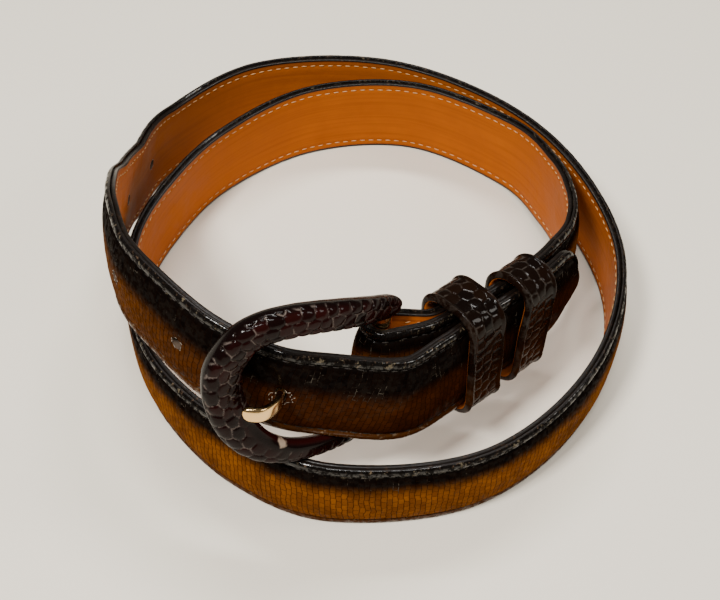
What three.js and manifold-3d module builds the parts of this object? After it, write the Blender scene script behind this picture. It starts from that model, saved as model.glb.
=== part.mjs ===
// Embossed leather belt, fastened and standing on its edge in a coil of about two turns.
// Millimetres, +Z up. The buckle is at the front, towards -Y, and the tip points right, +X.

import * as THREE from 'three';
import Module from 'manifold-3d';
import { mergeVertices } from 'three/addons/utils/BufferGeometryUtils.js';

const wasm = await Module();
wasm.setup();

// Strap
const coilRadius = 60;
const strapWidth = 25;
const rimThickness = 1.1;
const padRise = 1.2;
const liningThickness = 1;
const liningInset = 0.4;
const grooveInset = 2.4;
const grooveDepth = 0.35;
const rimRound = 0.5;
const tipLength = 9;
const strapStep = 5.4;

// Clearances between pieces
const layerGap = 0.3;
const fitGap = 0.35;

// Punched holes
const holeCount = 6;
const holeSpacing = 24.2;
const holeDiameter = 3;

// Buckle
const barRadius = 2;
const frameReach = 41;
const legWidth = 7.4;
const frameThickness = 6;
const windowClearance = 2.4;
const curveAllowance = 4.2;
const curveRaise = 3;
const curveRise = 4.6;
const frameBow = 4.2;
const flapEndPastKeeper = 1.2;

// Prong
const prongWidth = 3.6;
const prongThickness = 1.7;
const prongRingWall = 1.2;
const prongOverlap = 0.9;
const tongueDrop = 5.3;

// Keepers
const keeperWidth = 10.6;
const keeperWall = 1.9;
const keeperNearPlace = 21.3;
const keeperFarPlace = 36.9;
const keeperClearance = 1.1;
const keeperSlack = 1.8;
const keeperCorner = 4.4;

// Thicknesses worked out from the sizes above, measured from the line between leather and lining
const leatherBack = layerGap / 2;
const rimTop = leatherBack + rimThickness;
const padTop = rimTop + padRise;
const liningBack = leatherBack + liningThickness;
const layerPitch = padTop + liningBack + fitGap;
const foldRadius = barRadius + fitGap + liningBack;
const flapClosedSpacing = 2 * liningBack + fitGap;
const halfStrap = strapWidth / 2;
const flapCloseLength = keeperNearPlace - keeperWidth / 2;
const flapLength = keeperNearPlace + keeperWidth / 2 + flapEndPastKeeper;

// The strap's route, from the buckle bar to the tip, anticlockwise seen from above.
// turn: degrees round the coil, 0 at +X. reach: share of coilRadius.
// layers: how many strap layers it stands further out than its reach.
// lift: height of the lower edge, share of strapWidth. lean: degrees that the top edge tips inwards.
const route = [
  { turn: -84, reach: 0.833, layers: 0, lift: 0.91, lean: 11 },
  { turn: -70, reach: 0.784, layers: 0, lift: 0.8, lean: 9 },
  { turn: -57, reach: 0.746, layers: 0, lift: 0.75, lean: 7 },
  { turn: -45, reach: 0.744, layers: 0, lift: 0.72, lean: 5 },
  { turn: -33, reach: 0.762, layers: 0, lift: 0.66, lean: 4 },
  { turn: -20, reach: 0.804, layers: 0, lift: 0.56, lean: 4 },
  { turn: -6, reach: 0.868, layers: 0, lift: 0.41, lean: 3 },
  { turn: 8, reach: 0.915, layers: 0, lift: 0.29, lean: 2 },
  { turn: 25, reach: 0.95, layers: 0, lift: 0.12, lean: -2 },
  { turn: 45, reach: 0.985, layers: 0, lift: 0.01, lean: -2 },
  { turn: 75, reach: 0.985, layers: 0, lift: 0, lean: 0 },
  { turn: 105, reach: 0.95, layers: 0, lift: 0, lean: 0 },
  { turn: 135, reach: 0.913, layers: 0, lift: 0, lean: 4 },
  { turn: 160, reach: 0.923, layers: 0, lift: 0, lean: 4 },
  { turn: 180, reach: 0.97, layers: 0, lift: 0, lean: 3 },
  { turn: 200, reach: 0.995, layers: 0, lift: 0, lean: 1 },
  { turn: 220, reach: 1.033, layers: 0, lift: 0, lean: 1 },
  { turn: 243, reach: 1.073, layers: 0, lift: 0, lean: 4 },
  { turn: 265, reach: 1.126, layers: 0, lift: 0, lean: 0 },
  { turn: 295, reach: 1.153, layers: 0, lift: 0, lean: -2 },
  { turn: 325, reach: 1.131, layers: 0, lift: 0, lean: 0 },
  { turn: 355, reach: 1.109, layers: 0, lift: 0, lean: 2 },
  { turn: 385, reach: 0.95, layers: 1.75, lift: 0, lean: 2 },
  { turn: 415, reach: 0.991, layers: 1.1, lift: 0, lean: 0 },
  { turn: 445, reach: 1.125, layers: 0, lift: 0, lean: 0 },
  { turn: 475, reach: 1.208, layers: 0, lift: 0, lean: 2 },
  { turn: 500, reach: 1.19, layers: 0, lift: 0.03, lean: 5 },
  { turn: 520, reach: 1.078, layers: 0, lift: 0.33, lean: 9 },
  { turn: 535.5, reach: 1.026, layers: 0, lift: 0.69, lean: 9 },
  { turn: 546.5, reach: 1.005, layers: 0, lift: 1.01, lean: 8 },
  { turn: 558.5, reach: 1.001, layers: 0, lift: 1.26, lean: 8 },
  { turn: 571.5, reach: 1.017, layers: 0, lift: 1.39, lean: 9 },
  { turn: 584.5, reach: 1.020, layers: 0, lift: 1.45, lean: 10 },
  { turn: 599, reach: 1.039, layers: 0, lift: 1.40, lean: 11 },
  { turn: 612, reach: 1.03, layers: 0, lift: 1.28, lean: 7 },
  { turn: 624, reach: 0.985, layers: 0, lift: 1.12, lean: 7 },
  { turn: 636, reach: 0.845, layers: 1.7, lift: 0.91, lean: 8 },
  { turn: 650, reach: 0.789, layers: 1.3, lift: 0.83, lean: 9 },
  { turn: 663, reach: 0.746, layers: 1.05, lift: 0.75, lean: 7 },
  { turn: 675, reach: 0.744, layers: 1, lift: 0.72, lean: 5 },
  { turn: 687, reach: 0.762, layers: 1, lift: 0.66, lean: 4 },
  { turn: 706.5, reach: 0.832, layers: 1.12, lift: 0.51, lean: 4 },
];

const radians = THREE.MathUtils.degToRad;
const upward = new THREE.Vector3(0, 0, 1);

function rowHeight(row) {
  const lean = radians(row.lean);
  const lowCorner = lean > 0 ? liningBack : rimTop;
  return row.lift * strapWidth + halfStrap * Math.cos(lean) + lowCorner * Math.abs(Math.sin(lean));
}

function rowPoint(row) {
  const angle = radians(row.turn);
  const reach = row.reach * coilRadius;
  return new THREE.Vector3(reach * Math.cos(angle), reach * Math.sin(angle), rowHeight(row));
}

function smoothLine(points) {
  const line = new THREE.CatmullRomCurve3(points, false, 'catmullrom', 0.5);
  line.arcLengthDivisions = 3000;
  return line;
}

function layeredPoints() {
  const base = smoothLine(route.map(rowPoint));
  return route.map((row, index) => {
    const along = base.getTangent(index / (route.length - 1));
    const outward = along.cross(upward).normalize();
    return rowPoint(row).addScaledVector(outward, row.layers * layerPitch);
  });
}

const strapLine = smoothLine(layeredPoints());
const leanLine = smoothLine(route.map((row) => new THREE.Vector3(row.lean, row.turn, 0)));
const strapLength = strapLine.getLength();

// A station is a place on the strap: its point, the way along, out of the outer face and up the width
function stationAt(distance) {
  const share = THREE.MathUtils.clamp(distance / strapLength, 0, 1);
  const parameter = strapLine.getUtoTmapping(share);
  const point = strapLine.getPoint(parameter);
  const along = strapLine.getTangent(parameter);
  const lean = radians(leanLine.getPoint(parameter).x);
  const flatOut = along.clone().cross(upward).normalize();
  const flatUp = flatOut.clone().cross(along).normalize();
  const out = flatOut.clone().multiplyScalar(Math.cos(lean)).addScaledVector(flatUp, Math.sin(lean));
  const up = flatUp.clone().multiplyScalar(Math.cos(lean)).addScaledVector(flatOut, -Math.sin(lean));
  return { point, along, out, up, distance };
}

function smoothStep(share) {
  return THREE.MathUtils.smoothstep(share, 0, 1);
}

const foldStart = stationAt(0);
const barCentre = foldStart.point.clone().addScaledVector(foldStart.out, -foldRadius);
const barSide = foldStart.along.clone().negate();

// The flap is the strap's end, folded back behind the main run
function flapStation(distance) {
  const main = stationAt(distance);
  const closing = smoothStep(distance / flapCloseLength);
  const spacing = THREE.MathUtils.lerp(2 * foldRadius, flapClosedSpacing, closing);
  return {
    point: main.point.clone().addScaledVector(main.out, -spacing),
    along: main.along.clone().negate(),
    out: main.out.clone().negate(),
    up: main.up,
    distance: -distance,
  };
}

function foldStation(angle) {
  const out = foldStart.out.clone().multiplyScalar(Math.cos(angle));
  out.addScaledVector(foldStart.along, -Math.sin(angle));
  const along = foldStart.out.clone().multiplyScalar(Math.sin(angle));
  along.addScaledVector(foldStart.along, Math.cos(angle));
  return {
    point: barCentre.clone().addScaledVector(out, foldRadius),
    along,
    out,
    up: foldStart.up,
    distance: 0,
  };
}

function stationsBetween(from, to, step, make) {
  const count = Math.max(1, Math.round(Math.abs(to - from) / step));
  const list = [];
  for (let index = 0; index <= count; index += 1) {
    list.push(make(from + ((to - from) * index) / count));
  }
  return list;
}

const foldSteps = 12;
const foldList = stationsBetween(Math.PI, 0, Math.PI / foldSteps, foldStation);
const flapList = stationsBetween(flapLength, 0, strapStep * 0.7, flapStation);
const bodyEnd = strapLength - tipLength;
const mainList = stationsBetween(0, bodyEnd, strapStep, stationAt);
const tipShares = [0.3, 0.55, 0.75, 0.9, 1];
const tipList = tipShares.map((share) => stationAt(bodyEnd + share * tipLength));
const strapStations = [
  ...flapList.slice(0, -1),
  ...foldList.slice(0, -1),
  ...mainList,
  ...tipList,
];

function halfWidthAt(station) {
  const share = Math.max(0, (station.distance - bodyEnd) / tipLength);
  const bluntness = 0.86;
  return halfStrap * Math.sqrt(1 - bluntness * share * share);
}

// Sections are lists of [out, up] pairs, anticlockwise
function leatherSection(halfWidth) {
  const scale = halfWidth / halfStrap;
  const groove = halfWidth - grooveInset * scale;
  const face = [
    [leatherBack, halfWidth],
    [rimTop - rimRound, halfWidth],
    [rimTop, halfWidth - rimRound * scale],
    [rimTop - grooveDepth, groove],
    [rimTop + 0.4 * padRise, groove - grooveInset * 0.5 * scale],
    [rimTop + 0.8 * padRise, groove * 0.5],
  ];
  const lower = face.map(([out, up]) => [out, -up]);
  return [...lower, [padTop, 0], ...face.reverse()];
}

function liningSection(halfWidth) {
  const half = halfWidth - liningInset;
  return [
    [-liningBack, -half],
    [-leatherBack, -half],
    [-leatherBack, half],
    [-liningBack, half],
  ];
}

function placeOnStation(station, [out, up]) {
  return station.point.clone().addScaledVector(station.out, out).addScaledVector(station.up, up);
}

function geometryFrom(points, triangles) {
  const geometry = new THREE.BufferGeometry();
  geometry.setAttribute('position', new THREE.Float32BufferAttribute(points, 3));
  geometry.setIndex(triangles);
  return geometry;
}

// Every four-sided patch is split along the same slant, so twisted faces stay parallel
function ringTriangles(first, second, section, triangles) {
  const count = section.length;
  for (let index = 0; index < count; index += 1) {
    const next = (index + 1) % count;
    if (section[next][1] > section[index][1]) {
      triangles.push(first + index, second + index, second + next);
      triangles.push(first + index, second + next, first + next);
    } else {
      triangles.push(first + index, second + index, first + next);
      triangles.push(first + next, second + index, second + next);
    }
  }
}

// An open sweep has flat end caps, a closed one joins its last section to its first
function sweep(stations, sectionAt, closed = false) {
  const sections = stations.map(sectionAt);
  const size = sections[0].length;
  const points = [];
  const triangles = [];
  stations.forEach((station, index) => {
    for (const pair of sections[index]) {
      points.push(...placeOnStation(station, pair).toArray());
    }
    if (index > 0) {
      ringTriangles((index - 1) * size, index * size, sections[index], triangles);
    }
  });
  const lastRing = (stations.length - 1) * size;
  if (closed) {
    ringTriangles(lastRing, 0, sections[0], triangles);
  } else {
    const contour = sections[0].map(([out, up]) => new THREE.Vector2(out, up));
    for (const [a, b, c] of THREE.ShapeUtils.triangulateShape(contour, [])) {
      triangles.push(a, b, c);
      triangles.push(lastRing + a, lastRing + c, lastRing + b);
    }
  }
  return geometryFrom(points, triangles);
}

// Solids for cutting and joining
function toSolid(geometry) {
  const bare = geometry.clone();
  bare.deleteAttribute('normal');
  bare.deleteAttribute('uv');
  const merged = mergeVertices(bare, 1e-4);
  const mesh = new wasm.Mesh({
    numProp: 3,
    vertProperties: new Float32Array(merged.getAttribute('position').array),
    triVerts: new Uint32Array(merged.getIndex().array),
  });
  return new wasm.Manifold(mesh);
}

function fromSolid(solid) {
  const mesh = solid.getMesh();
  return geometryFrom(Array.from(mesh.vertProperties), Array.from(mesh.triVerts));
}

// A block or cylinder is placed by the three directions of its own X, Y and Z
function placed(geometry, centre, xWay, yWay, zWay) {
  const matrix = new THREE.Matrix4().makeBasis(xWay, yWay, zWay);
  matrix.setPosition(centre);
  return geometry.applyMatrix4(matrix);
}

// Buckle frame: it turns about the bar until its curve lies on the outside of the holed strap
const curveStandoff = padTop + layerGap + frameThickness / 2 + curveAllowance;
const halfWindow = halfStrap + windowClearance;
const frameHalfHeight = halfWindow + legWidth / 2;

function curveSeat() {
  const secondTurn = strapLength * 0.6;
  const searchStep = 0.25;
  let best = { miss: Infinity };
  for (let distance = secondTurn; distance < bodyEnd; distance += searchStep) {
    const station = stationAt(distance);
    const seat = placeOnStation(station, [curveStandoff, curveRaise]);
    const beforeBar = seat.clone().sub(barCentre).dot(foldStart.along) < 0;
    const miss = Math.abs(seat.distanceTo(barCentre) - frameReach);
    if (beforeBar && miss < best.miss) {
      best = { miss, seat, station };
    }
  }
  return best;
}

const seat = curveSeat();
const frameAlong = seat.seat.clone().sub(barCentre).normalize();
const frameUp = foldStart.up.clone();
const frameOut = frameUp.clone().cross(frameAlong).normalize();

// The worn frame is a little askew: its bar keeps to the fold and its curve has ridden up.
// A place on it: along from the bar to the curve, up the bar and out of the frame's face
function framePoint(along, up, out) {
  const share = THREE.MathUtils.clamp(along / frameReach, 0, 1);
  const raised = up + curveRise * share;
  const bow = 4 * frameBow * share * (1 - share);
  const point = barCentre.clone().addScaledVector(frameAlong, along);
  return point.addScaledVector(frameUp, raised).addScaledVector(frameOut, out + bow);
}

// Both arms of the frame's centre line, from the leg's end past the bar to the middle of the curve.
// along: share of frameReach. up, down: share of frameHalfHeight, above and below.
// upSize, downSize: share of the leg's width and thickness, above and below.
const frameTable = [
  { along: -0.075, up: 0.79, down: 0.79, upSize: 0.56, downSize: 0.5 },
  { along: -0.06, up: 0.84, down: 0.83, upSize: 0.72, downSize: 0.62 },
  { along: -0.02, up: 0.88, down: 0.86, upSize: 0.8, downSize: 0.66 },
  { along: 0.12, up: 0.93, down: 0.91, upSize: 0.86, downSize: 0.66 },
  { along: 0.3, up: 0.97, down: 0.96, upSize: 0.92, downSize: 0.66 },
  { along: 0.48, up: 0.97, down: 1, upSize: 0.96, downSize: 0.7 },
  { along: 0.64, up: 0.92, down: 1, upSize: 0.98, downSize: 0.82 },
  { along: 0.78, up: 0.81, down: 0.91, upSize: 1, downSize: 0.96 },
  { along: 0.89, up: 0.63, down: 0.73, upSize: 1, downSize: 1 },
  { along: 0.96, up: 0.38, down: 0.48, upSize: 1, downSize: 1 },
  { along: 1, up: 0.12, down: 0.17, upSize: 1, downSize: 1 },
];

function frameStations() {
  const armPoint = (along, up, size) => (
    new THREE.Vector3(along * frameReach, up * frameHalfHeight, size)
  );
  const lower = frameTable.map((row) => armPoint(row.along, -row.down, row.downSize));
  const upper = frameTable.map((row) => armPoint(row.along, row.up, row.upSize));
  const path = smoothLine([...lower, ...upper.reverse()]);
  const steps = 2 * (2 * frameTable.length - 1);
  const list = [];
  for (let index = 0; index <= steps; index += 1) {
    const place = path.getPoint(index / steps);
    const way = path.getTangent(index / steps);
    const travel = frameAlong.clone().multiplyScalar(way.x);
    travel.addScaledVector(frameUp, way.y + (curveRise * way.x) / frameReach);
    const away = frameOut.clone().cross(travel).normalize();
    list.push({ point: framePoint(place.x, place.y, 0), out: frameOut, up: away, size: place.z });
  }
  return list;
}

// The leg is a rounded bar, crowned on its outer face and flat behind
function legSection(size) {
  const half = (legWidth / 2) * size;
  const back = (-frameThickness / 2) * size;
  const front = (frameThickness / 2) * size;
  const side = [
    [back, half * 0.35],
    [back * 0.55, half * 0.8],
    [front * 0.2, half],
    [front * 0.65, half * 0.86],
    [front * 0.93, half * 0.5],
  ];
  const lower = side.map(([out, up]) => [out, -up]);
  return [...lower, [front, 0], ...side.reverse()];
}

function frameGeometry() {
  const legs = toSolid(sweep(frameStations(), (station) => legSection(station.size)));
  const barLength = 2 * frameHalfHeight * frameTable[2].up;
  const barSides = 16;
  const bar = new THREE.CylinderGeometry(barRadius, barRadius, barLength, barSides);
  const barSolid = toSolid(placed(bar, barCentre, foldStart.out, foldStart.up, barSide));
  return fromSolid(legs.add(barSolid));
}

// Prong: a ring round the bar and a bent tongue through the strap to the frame's curve
const tongueEnd = frameReach - legWidth / 2 + prongOverlap;
const tongueSeat = frameThickness / 2 + fitGap + prongThickness / 2;
// along: share of tongueEnd from the bar. out: share of tongueSeat, out of the frame's face.
const tongueTable = [
  { along: 0.075, out: 0.04 },
  { along: 0.22, out: 0 },
  { along: 0.38, out: -0.5 },
  { along: 0.5, out: -0.9 },
  { along: 0.6, out: -1.05 },
  { along: 0.67, out: -0.7 },
  { along: 0.78, out: 0.45 },
  { along: 0.9, out: 1.1 },
  { along: 1, out: 1 },
];

function tonguePoint(row) {
  return framePoint(row.along * tongueEnd, -row.along * tongueDrop, row.out * tongueSeat);
}

function tongueStations(extension) {
  const points = tongueTable.map(tonguePoint);
  const line = smoothLine(points);
  const steps = 20;
  const list = [];
  for (let index = 0; index <= steps; index += 1) {
    const share = index / steps;
    const along = line.getTangentAt(share);
    const out = along.clone().cross(frameUp).negate().normalize();
    list.push({ point: line.getPointAt(share), along, out, up: frameUp.clone().negate(), share });
  }
  const last = list[steps];
  last.point.addScaledVector(last.along, extension);
  return list;
}

function tongueSection(halfWidth, halfThickness) {
  const flat = 0.6;
  const corners = [
    [halfThickness * flat, -halfWidth],
    [halfThickness, -halfWidth * flat],
    [halfThickness, halfWidth * flat],
    [halfThickness * flat, halfWidth],
  ];
  const behind = corners.map(([out, up]) => [-out, -up]);
  return [...corners, ...behind];
}

function prongSolid(growth) {
  const tongue = sweep(tongueStations(growth), (station) => {
    const round = station.share > 0.94 ? 0.7 : 1;
    return tongueSection((prongWidth / 2) * round + growth, (prongThickness / 2) * round + growth);
  });
  return toSolid(tongue);
}

function prongGeometry() {
  const inner = barRadius + fitGap;
  const outer = inner + prongRingWall;
  const half = prongWidth / 2;
  const profile = [
    new THREE.Vector2(inner, -half),
    new THREE.Vector2(outer, -half),
    new THREE.Vector2(outer, half),
    new THREE.Vector2(inner, half),
    new THREE.Vector2(inner, -half),
  ];
  const ring = placed(
    new THREE.LatheGeometry(profile, 20),
    barCentre,
    foldStart.out,
    foldStart.up,
    barSide,
  );
  return fromSolid(toSolid(ring).add(prongSolid(0)));
}

// Where the tongue passes through the strap, the strap has its used hole
function usedHoleDistance() {
  const middle = tongueStations(0).map((station) => station.point);
  let best = { miss: Infinity, distance: 0 };
  const searchStart = seat.station.distance;
  for (let distance = searchStart; distance < strapLength - tipLength; distance += 0.5) {
    const station = stationAt(distance);
    const centre = placeOnStation(station, [(padTop - liningBack) / 2, 0]);
    for (const point of middle) {
      const miss = point.distanceTo(centre);
      if (miss < best.miss) {
        best = { miss, distance };
      }
    }
  }
  return best.distance;
}

function holeCutter(distance) {
  const station = stationAt(distance);
  const length = 3 * (padTop + liningBack);
  const holeSides = 16;
  const cylinder = new THREE.CylinderGeometry(holeDiameter / 2, holeDiameter / 2, length, holeSides);
  const sideways = station.out.clone().cross(station.up);
  return toSolid(placed(cylinder, station.point, station.up, station.out, sideways.negate()));
}

// The slot in the fold lets the prong's ring round the bar
function slotCutter() {
  const slotHalf = prongWidth / 2 + fitGap;
  const slotReach = 7;
  const stations = [
    ...stationsBetween(slotReach, 0, strapStep, flapStation).slice(0, -1),
    ...foldList.slice(0, -1),
    ...stationsBetween(0, slotReach, strapStep, stationAt),
  ];
  const inner = -liningBack - fitGap / 2;
  const outer = padTop + fitGap / 2;
  const section = [[inner, -slotHalf], [outer, -slotHalf], [outer, slotHalf], [inner, slotHalf]];
  return toSolid(sweep(stations, () => section));
}

function punched(geometry) {
  let solid = toSolid(geometry).subtract(slotCutter()).subtract(prongSolid(fitGap));
  const first = usedHoleDistance();
  for (let index = 1; index < holeCount; index += 1) {
    solid = solid.subtract(holeCutter(first - index * holeSpacing));
  }
  return fromSolid(solid);
}

// Keepers: closed loops round the layers of strap that they hold
function roundedLoop(inner, outer, half, corner) {
  const centreOut = (inner + outer) / 2;
  const halfOut = (outer - inner) / 2;
  const round = Math.min(corner, halfOut);
  const corners = [[1, -1, -90], [1, 1, 0], [-1, 1, 90], [-1, -1, 180]];
  const cornerSteps = 5;
  const points = [];
  for (const [sideOut, sideUp, startDegrees] of corners) {
    for (let index = 0; index <= cornerSteps; index += 1) {
      const angle = radians(startDegrees + (90 * index) / cornerSteps);
      const out = centreOut + sideOut * (halfOut - round) + round * Math.cos(angle);
      const up = sideUp * (half - round) + round * Math.sin(angle);
      points.push([out, up, Math.cos(angle), Math.sin(angle)]);
    }
  }
  return points;
}

function keeperSection() {
  const half = keeperWidth / 2;
  return [
    [0, half],
    [0, -half],
    [keeperWall * 0.6, -half],
    [keeperWall, -half * 0.7],
    [keeperWall, half * 0.7],
    [keeperWall * 0.6, half],
  ];
}

function keeperGeometry(distance, innerFace) {
  const centre = stationAt(distance);
  const inner = innerFace - keeperClearance;
  const outer = layerPitch + padTop + keeperClearance;
  const loop = roundedLoop(inner, outer, halfStrap + keeperSlack, keeperCorner);
  const stations = loop.map(([out, up, awayOut, awayUp]) => ({
    point: placeOnStation(centre, [out, up]),
    out: centre.out.clone().multiplyScalar(awayOut).addScaledVector(centre.up, awayUp),
    up: centre.along.clone().negate(),
  }));
  return sweep(stations, () => keeperSection(), true);
}

// Materials
function finish(colour, roughness, metalness) {
  return new THREE.MeshStandardMaterial({ color: colour, roughness, metalness });
}

function piece(name, geometry, material) {
  const mesh = new THREE.Mesh(geometry, material);
  mesh.name = name;
  return mesh;
}

const belt = new THREE.Group();
const leatherGeometry = sweep(strapStations, (station) => leatherSection(halfWidthAt(station)));
const liningGeometry = sweep(strapStations, (station) => liningSection(halfWidthAt(station)));
const flapFace = -flapClosedSpacing - padTop;

belt.add(piece('strap_leather', punched(leatherGeometry), finish(0x2a1408, 0.3, 0)));
belt.add(piece('strap_lining', punched(liningGeometry), finish(0xa04a10, 0.55, 0)));
belt.add(piece('buckle_frame', frameGeometry(), finish(0x2a0d0a, 0.3, 0)));
belt.add(piece('buckle_prong', prongGeometry(), finish(0xb8892e, 0.25, 1)));
belt.add(piece('keeper_near', keeperGeometry(keeperNearPlace, flapFace), finish(0x1c0d08, 0.35, 0)));
belt.add(piece('keeper_far', keeperGeometry(keeperFarPlace, -liningBack), finish(0x1c0d08, 0.35, 0)));

// The origin is under the middle of the coil, on the surface that it stands on
const bounds = new THREE.Box3().setFromObject(belt);
const middle = bounds.getCenter(new THREE.Vector3());
belt.position.set(-middle.x, -middle.y, -bounds.min.z);
belt.updateMatrixWorld(true);

export default belt;
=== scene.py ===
import math
import random

import bmesh
import bpy
import numpy as np
from mathutils import Matrix, Vector


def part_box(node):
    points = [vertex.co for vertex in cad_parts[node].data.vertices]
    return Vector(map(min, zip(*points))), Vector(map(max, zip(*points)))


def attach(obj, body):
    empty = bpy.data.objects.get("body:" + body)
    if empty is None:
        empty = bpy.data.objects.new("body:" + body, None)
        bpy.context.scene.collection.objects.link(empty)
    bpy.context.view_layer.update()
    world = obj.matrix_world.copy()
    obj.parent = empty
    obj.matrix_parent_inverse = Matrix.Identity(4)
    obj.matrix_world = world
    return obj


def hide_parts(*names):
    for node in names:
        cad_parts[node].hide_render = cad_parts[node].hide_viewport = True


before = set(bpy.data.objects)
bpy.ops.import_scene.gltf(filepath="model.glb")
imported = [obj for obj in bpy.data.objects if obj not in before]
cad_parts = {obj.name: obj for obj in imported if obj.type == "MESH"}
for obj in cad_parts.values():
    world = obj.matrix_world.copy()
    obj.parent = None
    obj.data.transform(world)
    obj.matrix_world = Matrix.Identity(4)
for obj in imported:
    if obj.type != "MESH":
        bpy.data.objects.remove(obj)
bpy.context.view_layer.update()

# The picture's camera
camera_data = bpy.data.cameras.new("photo_camera")
camera_data.lens = 57.5
camera_data.sensor_width = 36.0
camera = bpy.data.objects.new("photo_camera", camera_data)
camera.location = (-0.001919, -0.192572, 0.248316)
camera.rotation_euler = (math.radians(37.5), 0.0, 0.0)
bpy.context.scene.collection.objects.link(camera)
bpy.context.scene.camera = camera

# Sizes of the belt in millimetres, as in the part
COIL_RADIUS = 60.0
STRAP_WIDTH = 25.0
HALF_STRAP = STRAP_WIDTH / 2
RIM_THICKNESS = 1.1
PAD_RISE = 1.2
LINING_THICKNESS = 1.0
LINING_INSET = 0.4
GROOVE_INSET = 2.4
GROOVE_DEPTH = 0.35
TIP_LENGTH = 9.0
TIP_BLUNTNESS = 0.86
LAYER_GAP = 0.3
FIT_GAP = 0.35
HOLE_COUNT = 6
HOLE_SPACING = 24.2
HOLE_DIAMETER = 3.0
BAR_RADIUS = 2.0
FRAME_REACH = 41.0
LEG_WIDTH = 7.4
FRAME_THICKNESS = 6.0
WINDOW_CLEARANCE = 2.4
CURVE_ALLOWANCE = 4.2
CURVE_RAISE = 3.0
CURVE_RISE = 4.6
FRAME_BOW = 4.2
PRONG_WIDTH = 3.6
PRONG_THICKNESS = 1.7
PRONG_RING_WALL = 1.2
PRONG_OVERLAP = 0.9
TONGUE_DROP = 5.3
KEEPER_WIDTH = 10.6
KEEPER_WALL = 1.9
KEEPER_NEAR_PLACE = 21.3
KEEPER_FAR_PLACE = 36.9
KEEPER_CLEARANCE = 1.1
KEEPER_SLACK = 1.8
KEEPER_CORNER = 4.4
FLAP_END_PAST_KEEPER = 1.2

LEATHER_BACK = LAYER_GAP / 2
SIDE_OUT = LEATHER_BACK + 0.25
RIM_TOP = LEATHER_BACK + RIM_THICKNESS
PAD_TOP = RIM_TOP + PAD_RISE
LINING_BACK = LEATHER_BACK + LINING_THICKNESS
LAYER_PITCH = PAD_TOP + LINING_BACK + FIT_GAP
FOLD_RADIUS = BAR_RADIUS + FIT_GAP + LINING_BACK
FLAP_SPACING = 2 * LINING_BACK + FIT_GAP
FLAP_CLOSE = KEEPER_NEAR_PLACE - KEEPER_WIDTH / 2
FLAP_LENGTH = KEEPER_NEAR_PLACE + KEEPER_WIDTH / 2 + FLAP_END_PAST_KEEPER
FRAME_HALF_HEIGHT = HALF_STRAP + WINDOW_CLEARANCE + LEG_WIDTH / 2
BAR_SHARE = 0.86
METRE = 0.001

# The strap's route: turn in degrees, reach as a share of the coil's radius, layers further out,
# lift of the lower edge as a share of the width, lean of the top edge in degrees
ROUTE = [
    (-84, 0.833, 0, 0.91, 11),
    (-70, 0.784, 0, 0.8, 9),
    (-57, 0.746, 0, 0.75, 7),
    (-45, 0.744, 0, 0.72, 5),
    (-33, 0.762, 0, 0.66, 4),
    (-20, 0.804, 0, 0.56, 4),
    (-6, 0.868, 0, 0.41, 3),
    (8, 0.915, 0, 0.29, 2),
    (25, 0.95, 0, 0.12, -2),
    (45, 0.985, 0, 0.01, -2),
    (75, 0.985, 0, 0, 0),
    (105, 0.95, 0, 0, 0),
    (135, 0.913, 0, 0, 4),
    (160, 0.923, 0, 0, 4),
    (180, 0.97, 0, 0, 3),
    (200, 0.995, 0, 0, 1),
    (220, 1.033, 0, 0, 1),
    (243, 1.073, 0, 0, 4),
    (265, 1.126, 0, 0, 0),
    (295, 1.153, 0, 0, -2),
    (325, 1.131, 0, 0, 0),
    (355, 1.109, 0, 0, 2),
    (385, 0.95, 1.75, 0, 2),
    (415, 0.991, 1.1, 0, 0),
    (445, 1.125, 0, 0, 0),
    (475, 1.208, 0, 0, 2),
    (500, 1.19, 0, 0.03, 5),
    (520, 1.078, 0, 0.33, 9),
    (535.5, 1.026, 0, 0.69, 9),
    (546.5, 1.005, 0, 1.01, 8),
    (558.5, 1.001, 0, 1.26, 8),
    (571.5, 1.017, 0, 1.39, 9),
    (584.5, 1.020, 0, 1.45, 10),
    (599, 1.039, 0, 1.40, 11),
    (612, 1.03, 0, 1.28, 7),
    (624, 0.985, 0, 1.12, 7),
    (636, 0.845, 1.7, 0.91, 8),
    (650, 0.789, 1.3, 0.83, 9),
    (663, 0.746, 1.05, 0.75, 7),
    (675, 0.744, 1, 0.72, 5),
    (687, 0.762, 1, 0.66, 4),
    (706.5, 0.832, 1.12, 0.51, 4),
]

# Both arms of the frame's centre line: along, up and down, and the leg's size above and below
FRAME_TABLE = [
    (-0.075, 0.79, 0.79, 0.56, 0.5),
    (-0.06, 0.84, 0.83, 0.72, 0.62),
    (-0.02, 0.88, 0.86, 0.8, 0.66),
    (0.12, 0.93, 0.91, 0.86, 0.66),
    (0.3, 0.97, 0.96, 0.92, 0.66),
    (0.48, 0.97, 1, 0.96, 0.7),
    (0.64, 0.92, 1, 0.98, 0.82),
    (0.78, 0.81, 0.91, 1, 0.96),
    (0.89, 0.63, 0.73, 1, 1),
    (0.96, 0.38, 0.48, 1, 1),
    (1, 0.12, 0.17, 1, 1),
]

# The prong's tongue: along, and out of the frame's face
TONGUE_TABLE = [
    (0.075, 0.04),
    (0.22, 0),
    (0.38, -0.5),
    (0.5, -0.9),
    (0.6, -1.05),
    (0.67, -0.7),
    (0.78, 0.45),
    (0.9, 1.1),
    (1, 1),
]


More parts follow.
